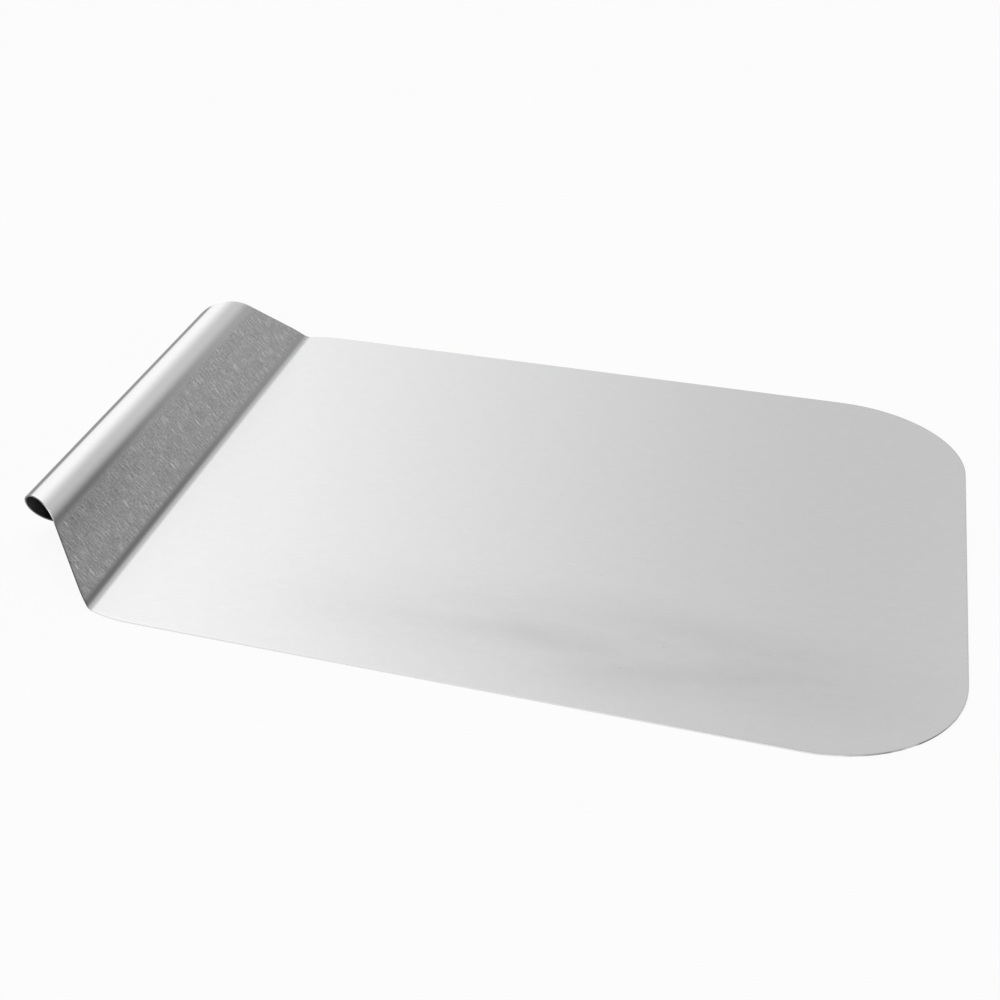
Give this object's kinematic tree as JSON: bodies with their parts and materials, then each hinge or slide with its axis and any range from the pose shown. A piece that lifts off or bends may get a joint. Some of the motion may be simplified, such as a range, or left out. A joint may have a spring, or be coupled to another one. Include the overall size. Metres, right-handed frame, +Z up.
{
  "type": "pizza spatula",
  "caption": "Wide flat steel blade with rounded front corners, bent up at the back and rolled into a tubular handle, for lifting and carrying pizza or cake.",
  "frame": {"origin": "bottom centre of the whole part, on the table under the blade", "axes": "+X from the rolled handle to the blade's front edge, +Y to the left, +Z up from the table"},
  "size_m": [0.3504, 0.266, 0.0256],
  "materials": {
    "brushed_sheet": "fine satin brushing along the length, bare steel"
  },
  "bodies": {
    "root": {"spatula_sheet": "brushed_sheet"}
  },
  "joints": []
}
